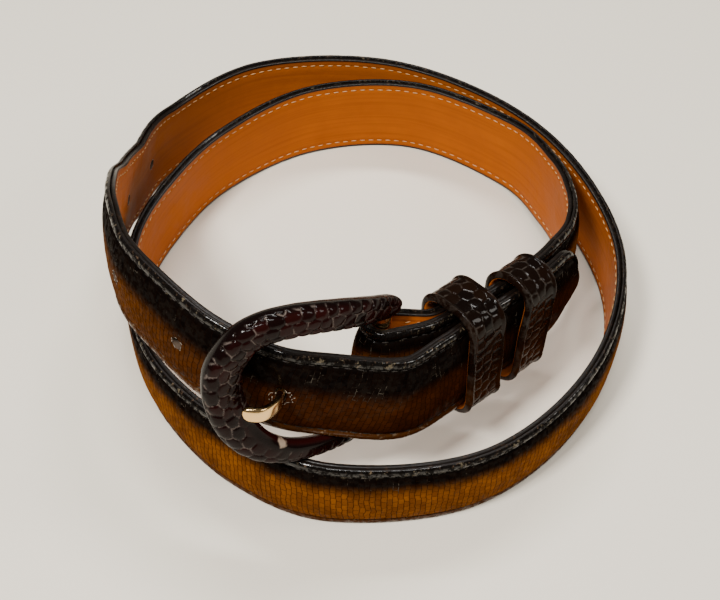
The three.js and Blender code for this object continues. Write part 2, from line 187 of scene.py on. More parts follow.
# Smooth lines through rows of numbers
def line_points(rows, shares):
    rows = np.asarray(rows, float)
    last = len(rows) - 1
    padded = np.vstack([2 * rows[0] - rows[1], rows, 2 * rows[-1] - rows[-2]])
    place = np.clip(shares, 0, 1) * last
    index = np.minimum(place.astype(int), last - 1)
    weight = (place - index)[:, None]
    before, start, end, after = (padded[index + step] for step in range(4))
    way_in = 0.5 * (end - before)
    way_out = 0.5 * (after - start)
    square = 3 * (end - start) - 2 * way_in - way_out
    cube = 2 * (start - end) + way_in + way_out
    return start + weight * (way_in + weight * (square + weight * cube))


def unit(vectors):
    return vectors / np.linalg.norm(vectors, axis=-1, keepdims=True)


def line_ways(rows, shares):
    step = 0.0001
    ahead = line_points(rows, np.clip(shares + step, 0, 1))
    behind = line_points(rows, np.clip(shares - step, 0, 1))
    return unit(ahead - behind)


def length_table(rows):
    shares = np.linspace(0, 1, 3001)
    points = line_points(rows, shares)
    steps = np.linalg.norm(np.diff(points, axis=0), axis=1)
    return shares, np.concatenate([[0], np.cumsum(steps)])


def row_point(row):
    turn, reach, _, lift, lean = row
    tilt = math.radians(lean)
    corner = LINING_BACK if tilt > 0 else RIM_TOP
    height = lift * STRAP_WIDTH + HALF_STRAP * math.cos(tilt) + corner * abs(math.sin(tilt))
    angle = math.radians(turn)
    radius = reach * COIL_RADIUS
    return (radius * math.cos(angle), radius * math.sin(angle), height)


UPWARD = np.array([0.0, 0.0, 1.0])
base_rows = np.array([row_point(row) for row in ROUTE])
base_ways = line_ways(base_rows, np.linspace(0, 1, len(ROUTE)))
layers = np.array([row[2] for row in ROUTE], float)[:, None]
route_rows = base_rows + unit(np.cross(base_ways, UPWARD)) * layers * LAYER_PITCH
lean_rows = np.array([(row[4], row[0], 0) for row in ROUTE], float)
route_shares, route_lengths = length_table(route_rows)
STRAP_LENGTH = route_lengths[-1]
BODY_END = STRAP_LENGTH - TIP_LENGTH


# A station has a point, the way along, out of the outer face and up the width, and its distance
def strap_stations(distances):
    distances = np.asarray(distances, float)
    shares = np.interp(distances, route_lengths, route_shares)
    point = line_points(route_rows, shares)
    along = line_ways(route_rows, shares)
    lean = np.radians(line_points(lean_rows, shares)[:, :1])
    flat_out = unit(np.cross(along, UPWARD))
    flat_up = unit(np.cross(flat_out, along))
    out = flat_out * np.cos(lean) + flat_up * np.sin(lean)
    up = flat_up * np.cos(lean) - flat_out * np.sin(lean)
    return {"point": point, "along": along, "out": out, "up": up, "distance": distances}


def flap_stations(distances):
    main = strap_stations(distances)
    share = np.clip(distances / FLAP_CLOSE, 0, 1)
    closing = (share * share * (3 - 2 * share))[:, None]
    spacing = 2 * FOLD_RADIUS * (1 - closing) + FLAP_SPACING * closing
    return {
        "point": main["point"] - main["out"] * spacing,
        "along": -main["along"],
        "out": -main["out"],
        "up": main["up"],
        "distance": -FOLD_LENGTH - distances,
    }


def station_at(distance):
    return {name: value[0] for name, value in strap_stations([distance]).items()}


fold_start = station_at(0)
bar_centre = fold_start["point"] - fold_start["out"] * FOLD_RADIUS
FOLD_LENGTH = math.pi * FOLD_RADIUS


def fold_stations(angles):
    angle = np.asarray(angles, float)[:, None]
    out = fold_start["out"] * np.cos(angle) - fold_start["along"] * np.sin(angle)
    along = fold_start["out"] * np.sin(angle) + fold_start["along"] * np.cos(angle)
    return {
        "point": bar_centre + out * FOLD_RADIUS,
        "along": along,
        "out": out,
        "up": np.repeat(fold_start["up"][None], len(angles), 0),
        "distance": -FOLD_RADIUS * np.asarray(angles, float),
    }


def joined(parts):
    return {name: np.concatenate([part[name] for part in parts]) for name in parts[0]}


def whole_strap(step):
    flap = flap_stations(np.linspace(FLAP_LENGTH, 0, round(FLAP_LENGTH / step))[:-1])
    fold = fold_stations(np.linspace(math.pi, 0, round(FOLD_LENGTH / step) + 1)[:-1])
    main = strap_stations(np.linspace(0, BODY_END, round(BODY_END / step)))
    tip_steps = np.sin(np.linspace(0, math.pi / 2, 14))[1:]
    tip = strap_stations(BODY_END + tip_steps * TIP_LENGTH)
    return joined([flap, fold, main, tip])


def half_widths(distances):
    share = np.clip((distances - BODY_END) / TIP_LENGTH, 0, 1)
    return HALF_STRAP * np.sqrt(1 - TIP_BLUNTNESS * share * share)


# Where the part stands in the shared frame
def part_offset():
    stations = whole_strap(1.0)
    half = half_widths(stations["distance"])[:, None]
    corners = []
    for out, side in ((LEATHER_BACK, 1), (LEATHER_BACK, -1), (RIM_TOP, -1), (PAD_TOP, 0)):
        corners.append(stations["point"] + stations["out"] * out + stations["up"] * half * side)
    cloud = np.concatenate(corners)
    low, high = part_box("strap_leather")
    shift = (np.array(low) + np.array(high)) / 2 / METRE - (cloud.min(0) + cloud.max(0)) / 2
    shift[2] = low[2] / METRE - cloud[:, 2].min()
    return shift


OFFSET = part_offset()


def to_world(points):
    return (np.asarray(points) + OFFSET) * METRE


# Soft noise from a few sums of waves, the same each time
def ripple(first, second, size, seed):
    source = random.Random(seed)
    total = np.zeros(np.broadcast(first, second).shape)
    for _ in range(7):
        angle = source.uniform(0, 2 * math.pi)
        rate = 2 * math.pi / (size * source.uniform(0.6, 1.7))
        shift = source.uniform(0, 2 * math.pi)
        total = total + np.sin((first * math.cos(angle) + second * math.sin(angle)) * rate + shift)
    return total / 7


def mesh_from(name, work):
    mesh = bpy.data.meshes.new(name)
    work.to_mesh(mesh)
    work.free()
    return mesh


# Swept pieces: a grid is bent so that each of its rows lies round one station.
# Its UV map has the length along the run and the place across it, in millimetres.
def swept_mesh(name, stations, rings, across, closed=False):
    count, size = rings.shape[:2]
    length = stations["distance"]
    if closed:
        length = np.append(length, length[-1] + length[1])
    rows = len(length)
    grid = bmesh.new()
    bmesh.ops.create_grid(grid, x_segments=rows - 1, y_segments=size, size=1.0)
    mesh = mesh_from(name, grid)
    flat = np.zeros(len(mesh.vertices) * 3)
    mesh.vertices.foreach_get("co", flat)
    flat = flat.reshape(-1, 3)
    row = np.rint((flat[:, 0] + 1) / 2 * (rows - 1)).astype(int)
    column = np.rint((flat[:, 1] + 1) / 2 * size).astype(int)
    station = row % count
    pair = rings[station, column % size]
    place = (
        stations["point"][station]
        + stations["out"][station] * pair[:, :1]
        + stations["up"][station] * pair[:, 1:2]
    )
    mesh.vertices.foreach_set("co", to_world(place).ravel())
    corner = np.zeros(len(mesh.loops), int)
    mesh.loops.foreach_get("vertex_index", corner)
    layer = mesh.uv_layers.new(name="run")
    marks = np.stack([length[row], across[station, column % size]], 1)
    layer.data.foreach_set("uv", marks[corner].ravel())
    return mesh, station, column % size


def mark(mesh, name, values):
    layer = mesh.attributes.new(name=name, type="FLOAT", domain="POINT")
    layer.data.foreach_set("value", np.asarray(values, np.float32))


MERGE_DISTANCE = 0.000002


def close_seams(mesh):
    work = bmesh.new()
    work.from_mesh(mesh)
    bmesh.ops.remove_doubles(work, verts=work.verts, dist=MERGE_DISTANCE)
    open_edges = [edge for edge in work.edges if edge.is_boundary]
    if open_edges:
        bmesh.ops.holes_fill(work, edges=open_edges, sides=0)
    bmesh.ops.recalc_face_normals(work, faces=work.faces)
    work.to_mesh(mesh)
    work.free()
    mesh.update()


# Faces whose corners all carry the mark take the mesh's second material
def use_second_material(mesh, label):
    values = np.zeros(len(mesh.vertices))
    mesh.attributes[label].data.foreach_get("value", values)
    for polygon in mesh.polygons:
        if all(values[index] > 0.5 for index in polygon.vertices):
            polygon.material_index = 1


def add_piece(name, mesh, materials, node):
    piece = bpy.data.objects.new(name, mesh)
    bpy.context.scene.collection.objects.link(piece)
    for material in materials:
        mesh.materials.append(material)
    mesh.polygons.foreach_set("use_smooth", [True] * len(mesh.polygons))
    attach(piece, "root")
    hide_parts(node)
    return piece


# Shader nodes of one material or node group
class Nodes:
    def __init__(self, tree, place=None):
        self.tree = tree
        self.place = place

    def put(self, kind, inputs=None, **settings):
        made = self.tree.nodes.new(kind)
        for key, value in settings.items():
            setattr(made, key, value)
        for key, value in (inputs or {}).items():
            if isinstance(value, bpy.types.NodeSocket):
                self.tree.links.new(value, made.inputs[key])
            else:
                made.inputs[key].default_value = value
        return made

    def math(self, operation, first, second=0.0):
        return self.put("ShaderNodeMath", {0: first, 1: second}, operation=operation).outputs[0]

    def times(self, first, second):
        return self.math("MULTIPLY", first, second)

    def plus(self, first, second):
        return self.math("ADD", first, second)

    def parts(self, vector):
        return self.put("ShaderNodeSeparateXYZ", {0: vector}).outputs

    def span(self, value, low, high, start=0.0, end=1.0):
        inputs = {"Value": value, "From Min": low, "From Max": high, "To Min": start, "To Max": end}
        made = self.put("ShaderNodeMapRange", inputs, interpolation_type="SMOOTHSTEP")
        return made.outputs["Result"]

    def blend(self, share, first, second):
        inputs = {0: share, 6: first, 7: second}
        return self.put("ShaderNodeMix", inputs, data_type="RGBA").outputs[2]

    def grain(self, scale, detail=3.0, rough=0.6, vector=None):
        place = self.place if vector is None else vector
        inputs = {"Vector": place, "Scale": scale, "Detail": detail, "Roughness": rough}
        return self.put("ShaderNodeTexNoise", inputs).outputs["Fac"]


# A node group from one vector to a few values
def group_tree(name, given, results):
    tree = bpy.data.node_groups.new(name, "ShaderNodeTree")
    tree.interface.new_socket(name=given, in_out="INPUT", socket_type="NodeSocketVector")
    for label in results:
        tree.interface.new_socket(name=label, in_out="OUTPUT", socket_type="NodeSocketFloat")
    vector = tree.nodes.new("NodeGroupInput").outputs[given]
    return Nodes(tree, vector), tree.nodes.new("NodeGroupOutput").inputs


# Small scales pressed into the strap in rings across its width
def scale_group():
    nodes, result = group_tree("small_scales", "Run", ("Height", "Gap", "Tone"))
    run = nodes.place
    parts = nodes.parts(run)
    wobble = nodes.put("ShaderNodeTexNoise", {"Vector": run, "Scale": 0.28, "Detail": 2.0})
    shift = nodes.put("ShaderNodeSeparateColor", {0: wobble.outputs["Color"]}).outputs
    slow = nodes.put("ShaderNodeTexNoise", {"Vector": run, "Scale": 0.03, "Detail": 1.0})
    stretch = nodes.span(slow.outputs["Fac"], 0.35, 0.65, 0.85, 1.3)
    across = nodes.plus(nodes.times(parts["Y"], stretch), nodes.times(shift[0], 1.1))
    along = nodes.plus(parts["X"], nodes.times(shift[1], 1.2))
    place = nodes.put("ShaderNodeCombineXYZ", {0: across, 1: along})
    sizes = {
        "Vector": place.outputs[0],
        "Color1": (0, 0, 0, 1),
        "Color2": (1, 1, 1, 1),
        "Mortar": (0.5, 0.5, 0.5, 1),
        "Scale": 1.0,
        "Mortar Size": 0.11,
        "Mortar Smooth": 1.0,
        "Brick Width": 2.3,
        "Row Height": 1.25,
    }
    cells = nodes.put("ShaderNodeTexBrick", sizes, offset=0.5).outputs
    nodes.tree.links.new(cells["Fac"], result["Gap"])
    nodes.tree.links.new(nodes.math("SUBTRACT", 1.0, cells["Fac"]), result["Height"])
    nodes.tree.links.new(cells["Color"], result["Tone"])
    return nodes.tree


# Leather's fine pores, and patches that are rubbed lighter
def pore_group():
    nodes, result = group_tree("pores_and_rub", "Place", ("Pores", "Rub", "Cloud"))
    nodes.tree.links.new(nodes.grain(2600.0, 2.0), result["Pores"])
    nodes.tree.links.new(nodes.span(nodes.grain(900.0, 4.0, 0.75), 0.56, 0.7), result["Rub"])
    nodes.tree.links.new(nodes.grain(90.0, 3.0), result["Cloud"])
    return nodes.tree


SCALES = scale_group()
PORES = pore_group()


class Surface(Nodes):
    def __init__(self, name, **uniform):
        self.material = bpy.data.materials.new(name)
        self.material.use_nodes = True
        super().__init__(self.material.node_tree)
        self.shader = self.tree.nodes["Principled BSDF"]
        for key, value in uniform.items():
            self.shader.inputs[key.replace("_", " ")].default_value = value
        self.place = self.put("ShaderNodeTexCoord").outputs["Object"]
        self.run = self.put("ShaderNodeUVMap", uv_map="run").outputs["UV"]

    def link(self, value, socket):
        self.tree.links.new(value, self.shader.inputs[socket])

    def group(self, tree, key, value):
        made = self.tree.nodes.new("ShaderNodeGroup")
        made.node_tree = tree
        self.tree.links.new(value, made.inputs[key])
        return made.outputs

    def pores(self):
        return self.group(PORES, "Place", self.place)

    # Each bump has a height, a strength and a distance
    def finish(self, colour, rough, bumps):
        self.link(colour, "Base Color")
        self.link(rough, "Roughness")
        normal = None
        for height, strength, distance in bumps:
            inputs = {"Height": height, "Strength": strength, "Distance": distance}
            if normal is not None:
                inputs["Normal"] = normal
            normal = self.put("ShaderNodeBump", inputs).outputs["Normal"]
        self.link(normal, "Normal")
        return self.material


# The strap's outer leather: near-black, with a painted amber reflection of a warm yellow floor below
# the middle, small scales between the stitch lines
def strap_leather_material():
    look = Surface("strap_outer_leather", Specular_IOR_Level=0.0, Coat_Roughness=0.12)
    scales = look.group(SCALES, "Run", look.run)
    tone = scales["Tone"]
    pores = look.pores()
    parts = look.parts(look.run)
    across = parts["Y"]
    from_middle = look.math("ABSOLUTE", across)
    cloud = pores["Cloud"]
    # Painted reflection: below a wavy line across the face a warm yellow floor is painted in as
    # amber-brown, dimmer further along the run; above the line the leather stays near-black
    height = look.plus(across, look.times(cloud, 2.0))
    height = look.plus(height, look.span(parts["X"], 655.0, 735.0, -3.2, 0.0))
    unreflected_share = look.span(height, 0.5, 6.0)
    face = look.span(from_middle, 10.2, 9.2)
    reflection_amber = look.blend(tone, (0.14, 0.04, 0.0014, 1), (0.21, 0.064, 0.0022, 1))
    reflection_deep = look.blend(tone, (0.024, 0.006, 0.0006, 1), (0.042, 0.01, 0.001, 1))
    floor_reflection = look.blend(look.span(parts["X"], 640.0, 765.0), reflection_amber, reflection_deep)
    floor_reflection = look.blend(look.span(cloud, 0.35, 0.75, 0.0, 0.6), floor_reflection, (0.045, 0.014, 0.003, 1))
    top = look.blend(tone, (0.002, 0.001, 0.0008, 1), (0.005, 0.0028, 0.0018, 1))
    colour = look.blend(unreflected_share, floor_reflection, top)
    # The rim's lower part takes the same brown painted reflection
    rim = look.blend(unreflected_share, (0.05, 0.016, 0.003, 1), (0.004, 0.003, 0.0025, 1))
    colour = look.blend(face, rim, colour)
    gap = look.times(scales["Gap"], face)
    colour = look.blend(look.times(gap, 0.6), colour, (0.014, 0.005, 0.002, 1))
    # Pale hairs in the scales' gaps, painted highlights dotted along the seam, specks and wear on the
    # rim
    flecks = look.span(look.grain(240.0, 5.0, 0.75), 0.56, 0.64)
    hairs = look.times(look.times(gap, flecks), unreflected_share)
    colour = look.blend(look.times(hairs, 0.4), colour, (0.3, 0.26, 0.2, 1))
    # Painted highlight: broken pale dots along the stitch line
    seam_highlight = look.math("ABSOLUTE", look.math("SUBTRACT", from_middle, 10.1))
    seam_highlight = look.times(look.span(seam_highlight, 0.35, 0.1), flecks)
    colour = look.blend(look.times(seam_highlight, 0.45), colour, (0.34, 0.3, 0.25, 1))
    specks = look.span(look.grain(620.0, 3.0, 0.7), 0.6, 0.68)
    specks = look.times(specks, look.span(from_middle, 9.4, 10.4))
    colour = look.blend(look.times(specks, 0.3), colour, (0.3, 0.24, 0.15, 1))
    worn = look.times(look.span(from_middle, 11.2, 12.3), pores["Rub"])
    colour = look.blend(look.times(worn, 0.5), colour, (0.16, 0.1, 0.06, 1))
    gloss = look.span(from_middle, 9.6, 10.8, 0.05, 0.75)
    patchy = look.span(look.grain(760.0, 4.0, 0.7), 0.44, 0.58, 0.1, 1.0)
    look.link(look.times(gloss, patchy), "Coat Weight")
    rough = look.plus(look.span(look.grain(300.0), 0.3, 0.7, 0.2, 0.36), look.times(gap, 0.25))
    pressed = look.times(scales["Height"], look.span(from_middle, 10.2, 9.2, 0.45, 1.0))
    creases = look.times(look.grain(900.0, 5.0, 0.7), look.span(from_middle, 9.4, 10.4, 0.4, 1.0))
    bumps = [(pressed, 0.9, 0.0003), (creases, 0.75, 0.0004), (pores["Pores"], 0.12, 0.0001)]
    return look.finish(colour, rough, bumps)


def edge_paint_material():
    look = Surface("painted_strap_edge", Specular_IOR_Level=0.2)
    pores = look.pores()
    colour = look.blend(pores["Rub"], (0.006, 0.004, 0.003, 1), (0.04, 0.022, 0.012, 1))
    rough = look.span(pores["Cloud"], 0.3, 0.7, 0.3, 0.5)
    return look.finish(colour, rough, [(look.grain(1300.0), 0.4, 0.0002)])


# The tan lining: smooth, with soft clouds, strokes along the run and a few pale scratches
def lining_material():
    look = Surface("tan_lining", Specular_IOR_Level=0.04, Specular_Tint=(1.0, 0.8, 0.6, 1.0))
    pores = look.pores()
    from_middle = look.math("ABSOLUTE", look.parts(look.run)["Y"])
    turned = {"Vector": look.run, "Scale": (0.02, 0.9, 1.0)}
    strokes = look.put("ShaderNodeMapping", turned).outputs[0]
    streak = look.span(look.grain(1.0, 3.0, vector=strokes), 0.4, 0.75, 0.0, 0.5)
    colour = look.blend(pores["Cloud"], (0.31, 0.07, 0.003, 1), (0.42, 0.105, 0.006, 1))
    colour = look.blend(streak, colour, (0.24, 0.053, 0.003, 1))
    soiled = look.span(from_middle, 10.6, 12.1, 0.0, 0.6)
    colour = look.blend(soiled, colour, (0.16, 0.042, 0.01, 1))
    turned = {"Vector": look.run, "Rotation": (0, 0, 1.2), "Scale": (0.35, 0.03, 1)}
    slanted = look.put("ShaderNodeMapping", turned).outputs[0]
    scratch = look.span(look.grain(1.0, 6.0, 0.8, slanted), 0.7, 0.74)
    colour = look.blend(look.times(scratch, 0.35), colour, (0.62, 0.3, 0.14, 1))
    rough = look.span(pores["Cloud"], 0.3, 0.7, 0.42, 0.58)
    bumps = [(look.grain(120.0, 3.0), 0.25, 0.001), (pores["Pores"], 0.2, 0.0001)]
    return look.finish(colour, rough, bumps)


# Leather with larger plates, for the buckle and the keepers: their relief is in the mesh
def plate_material(name, dark, light, crease_colour, crease_share):
    look = Surface(name, Specular_IOR_Level=0.01, Coat_Weight=0.2, Coat_Roughness=0.07)
    pores = look.pores()
    crease, tone, rubbed = (
        look.put("ShaderNodeAttribute", attribute_name=label).outputs["Fac"]
        for label in ("crease", "tone", "rubbed")
    )
    colour = look.blend(tone, dark, light)
    broken = look.span(look.grain(380.0, 4.0, 0.7), 0.47, 0.58)
    pale = look.times(look.times(crease, broken), crease_share)
    colour = look.blend(pale, colour, crease_colour)
    worn = look.times(rubbed, look.span(pores["Rub"], 0.0, 1.0, 0.5, 1.0))
    colour = look.blend(worn, colour, (0.62, 0.47, 0.34, 1))
    rough = look.span(look.grain(260.0), 0.3, 0.7, 0.2, 0.4)
    bumps = [(look.grain(800.0, 4.0), 0.4, 0.0003), (pores["Pores"], 0.15, 0.0001)]
    return look.finish(colour, rough, bumps)


def thread_material(name, colour, shade):
    look = Surface(name)
    waves = {"Vector": look.place, "Scale": 900.0, "Distortion": 2.0}
    twist = look.put("ShaderNodeTexWave", waves).outputs["Fac"]
    rough = look.span(look.grain(500.0), 0.3, 0.7, 0.5, 0.75)
    return look.finish(look.blend(twist, shade, colour), rough, [(twist, 0.4, 0.0001)])


# A surface between two colours and two roughnesses, with one fine bump
def cloudy_material(name, cloud, colours, roughs, bump, **uniform):
    look = Surface(name, **uniform)
    share = look.grain(*cloud)
    rough = look.span(share, 0.3, 0.7, *roughs)
    scale, strength, distance = bump
    bumps = [(look.grain(scale), strength, distance)]
    return look.finish(look.blend(share, *colours), rough, bumps)


outer_leather = strap_leather_material()
edge_paint = edge_paint_material()
tan_lining = lining_material()
hole_wall = cloudy_material(
    "hole_wall",
    (900.0,),
    ((0.02, 0.012, 0.008, 1), (0.12, 0.08, 0.05, 1)),
    (0.7, 0.9),
    (2000.0, 0.5, 0.0002),
)
# Brass colours pushed warm orange-gold as a painted reflection of a warm yellow floor
brass = cloudy_material(
    "polished_brass",
    (350.0, 4.0),
    ((0.8, 0.47, 0.13, 1), (0.8, 0.6, 0.34, 1)),
    (0.12, 0.26),
    (1500.0, 0.05, 0.0001),
    Metallic=1.0,
)
fibre = cloudy_material(
    "bare_leather_fibre",
    (1500.0,),
    ((0.14, 0.11, 0.08, 1), (0.4, 0.36, 0.3, 1)),
    (0.7, 0.95),
    (2500.0, 0.6, 0.0002),
)
cream_thread = thread_material("cream_thread", (0.66, 0.4, 0.18, 1), (0.36, 0.17, 0.05, 1))
dark_thread = thread_material("dark_thread", (0.02, 0.012, 0.007, 1), (0.006, 0.004, 0.003, 1))
buckle_leather = plate_material(
    "buckle_plates", (0.003, 0.0012, 0.001, 1), (0.018, 0.0024, 0.002, 1), (0.5, 0.4, 0.34, 1), 0.22
)
# The keepers' light colour is mostly a painted amber reflection, laid on their lower part
keeper_leather = plate_material(
    "keeper_plates", (0.003, 0.0015, 0.001, 1), (0.036, 0.011, 0.0014, 1), (0.4, 0.34, 0.28, 1), 0.08
)


def smooth(value, low, high):
    share = np.clip((value - low) / (high - low), 0, 1)
    return share * share * (3 - 2 * share)


# The strap's outer leather, its rim rolled over to the stitch groove
ROLL_RISE = 0.14
ROLL_INSET = 1.4


# Half of the section, as places out of the back and in from the side
def face_profile():
    insets = [1.7, 2.0, 2.2, 2.4, 2.6, 2.8, 3.1, 3.5, 4.2, 5.0, 5.8, 6.7, 7.6, 8.6, 9.6, 10.6, 11.6]
    points = [(LEATHER_BACK, 0.0), (SIDE_OUT, 0.0)]
    for degrees in (15, 30, 45, 60, 75, 90):
        angle = math.radians(degrees)
        out = SIDE_OUT + (RIM_TOP + ROLL_RISE - SIDE_OUT) * math.sin(angle)
        points.append((out, ROLL_INSET * (1 - math.cos(angle))))
    for inset in insets:
        bead = ROLL_RISE * smooth(inset, GROOVE_INSET, ROLL_INSET)
        groove = GROOVE_DEPTH * math.exp(-(((inset - GROOVE_INSET) / 0.4) ** 2))
        share = max(0.0, (inset - GROOVE_INSET) / (HALF_STRAP - GROOVE_INSET))
        pad = PAD_RISE * (1 - (1 - share) ** 3)
        points.append((RIM_TOP + bead - groove + pad, inset))
    return points


def leather_rings(stations):
    half_list = face_profile()
    lower = [(out, inset, -1) for out, inset in half_list]
    upper = [(out, inset, 1) for out, inset in reversed(half_list)]
    back = [(LEATHER_BACK, HALF_STRAP * (1 - 0.3 * abs(side)), side) for side in (1, 0, -1)]
    table = lower + [(PAD_TOP, HALF_STRAP, 0)] + upper + back
    out, inset, side = np.array(table).T
    half = half_widths(stations["distance"])[:, None]
    shrink = half / HALF_STRAP
    up = side * (half - inset * shrink)
    length = stations["distance"][:, None]
    raised = out > RIM_TOP - 0.25
    dents = 0.1 * ripple(length, up * 1.5, 16.0, 3) + 0.05 * ripple(length, up, 5.0, 4)
    outs = out + np.where(raised, dents * np.clip(inset / 3.0, 0.45, 1), 0)
    nibble = 0.13 * ripple(length, side * 40.0, 5.0, 5) * (inset < 1.0)
    rings = np.stack([outs + 0 * up, up - side * np.abs(nibble)], 2)
    return rings, up + side * np.clip(SIDE_OUT - out, 0, 2), 2 * len(half_list) - 1


strap = whole_strap(1.0)
leather_ring, leather_across, upper_edge = leather_rings(strap)
leather_mesh, _, leather_column = swept_mesh("strap_outer", strap, leather_ring, leather_across)
mark(leather_mesh, "painted", (leather_column < 3) | (np.abs(leather_column - upper_edge) < 2))
close_seams(leather_mesh)


# The strap's lining, with the two lines where its stitches sink in
STITCH_UP = HALF_STRAP - 2.5


def lining_rings(stations):
    half = half_widths(stations["distance"])[:, None] - LINING_INSET
    top = HALF_STRAP - LINING_INSET
    spots = [top, top - 0.12, top - 0.5, top - 1.2, STITCH_UP + 0.5, STITCH_UP + 0.25, STITCH_UP]
    spots += [STITCH_UP - 0.25, STITCH_UP - 0.5, 8.5, 7.2, 5.9, 4.5, 3.0, 1.5]
    faces = spots + [0.0] + [-spot for spot in reversed(spots)]
    depth = np.array(
        [
            LINING_BACK - 0.14 * math.exp(-(((abs(spot) - STITCH_UP) / 0.3) ** 2))
            - (0.15 if abs(spot) == top else 0.0)
            for spot in faces
        ]
    )
    up_share = np.array(faces) / top
    back_share = np.array([-1.0, -0.4, 0.4, 1.0])
    up = np.concatenate([up_share, back_share])[None] * half
    length = stations["distance"][:, None]
    soft = 0.07 * ripple(length, up * 1.2, 9.0, 8) + 0.03 * ripple(length * 2.0, up * 0.4, 4.0, 9)
    outs = np.concatenate([-depth, np.full(4, -LEATHER_BACK)])[None] + 0 * up
    front = np.arange(len(outs[0])) < len(faces)
    outs = outs + np.where(front, np.abs(soft) * (np.abs(up) < half - 0.3), 0)
    return np.stack([outs, up], 2)


lining_ring = lining_rings(strap)
lining_mesh, _, lining_column = swept_mesh("strap_inner", strap, lining_ring, lining_ring[..., 1])
last_side = lining_ring.shape[1] - 8
mark(lining_mesh, "painted", (lining_column < 3) | (lining_column > last_side))
close_seams(lining_mesh)


# Buckle frame: its place is found as on the part
def seat_of_curve():
    distances = np.arange(STRAP_LENGTH * 0.6, BODY_END, 0.25)
    stations = strap_stations(distances)
    standoff = PAD_TOP + LAYER_GAP + FRAME_THICKNESS / 2 + CURVE_ALLOWANCE
    seats = stations["point"] + stations["out"] * standoff + stations["up"] * CURVE_RAISE
    away = seats - bar_centre
    miss = np.abs(np.linalg.norm(away, axis=1) - FRAME_REACH)
    miss[away @ fold_start["along"] >= 0] = np.inf
    best = int(np.argmin(miss))
    return seats[best], distances[best]


curve_seat, seat_distance = seat_of_curve()
frame_along = unit(curve_seat - bar_centre)
frame_up = fold_start["up"]
frame_out = unit(np.cross(frame_up, frame_along))


def frame_points(along, up, out):
    share = np.clip(along / FRAME_REACH, 0, 1)
    bow = 4 * FRAME_BOW * share * (1 - share)
    return (
        bar_centre
        + frame_along * along[:, None]
        + frame_up * (up + CURVE_RISE * share)[:, None]
        + frame_out * (out + bow)[:, None]
    )


def frame_stations(step):
    lower = [(row[0] * FRAME_REACH, -row[2] * FRAME_HALF_HEIGHT, row[4]) for row in FRAME_TABLE]
    upper = [(row[0] * FRAME_REACH, row[1] * FRAME_HALF_HEIGHT, row[3]) for row in FRAME_TABLE]
    rows = lower + upper[::-1]
    shares, lengths = length_table(rows)
    count = round(lengths[-1] / step)
    length = np.linspace(0, lengths[-1], count)
    place = np.interp(length, lengths, shares)
    points = line_points(rows, place)
    ways = line_ways(rows, place)
    travel = frame_along * ways[:, :1]
    travel = travel + frame_up * (ways[:, 1:2] + CURVE_RISE * ways[:, :1] / FRAME_REACH)
    away = unit(np.cross(frame_out, travel))
    end = np.minimum(length, lengths[-1] - length)
    rounding = 2.6
    close = np.clip(1 - end / rounding, 0, 1)
    size = points[:, 2] * np.sqrt(1 - 0.93 * close**2)
    stations = {
        "point": frame_points(points[:, 0], points[:, 1], np.zeros(count)),
        "out": np.repeat(frame_out[None], count, 0),
        "up": away,
        "distance": length,
    }
    return stations, size


def leg_ring(size_count):
    side = [(-1.0, 0.35), (-0.55, 0.8), (0.2, 1.0), (0.65, 0.86), (0.93, 0.5)]
    corners = [(out, -up) for out, up in side] + [(1.0, 0.0)] + side[::-1]
    closed = corners + corners[:3]
    shares = (1 + np.linspace(0, len(corners), size_count, endpoint=False)) / (len(closed) - 1)
    return line_points(closed, shares)


# Plates of embossed leather: a jittered staggered pattern, with the depth of its creases
def plates(along, around, pitch_along, pitch_around, seed):
    table = np.random.default_rng(seed).random((80, 160, 3))
    nearest = np.full(along.shape, np.inf)
    second = np.full(along.shape, np.inf)
    tone = np.zeros(along.shape)
    row_zero = np.rint(around / pitch_around).astype(int)
    for row_step in (-1, 0, 1):
        row = row_zero + row_step
        stagger = 0.5 * (row % 2)
        column_zero = np.rint(along / pitch_along - stagger).astype(int)
        for column_step in (-1, 0, 1):
            column = column_zero + column_step
            chance = table[(row + 40) % 80, (column + 40) % 160]
            centre_along = (column + stagger + (chance[..., 0] - 0.5) * 0.35) * pitch_along
            centre_around = (row + (chance[..., 1] - 0.5) * 0.35) * pitch_around
            apart_around = (around - centre_around) * pitch_along / pitch_around
            apart = np.hypot(along - centre_along, apart_around)
            closer = apart < nearest
            second = np.where(closer, nearest, np.minimum(second, apart))
            tone = np.where(closer, chance[..., 2], tone)
            nearest = np.where(closer, apart, nearest)
    return (second - nearest) / 2, tone


CHIP_LENGTH = 32.6


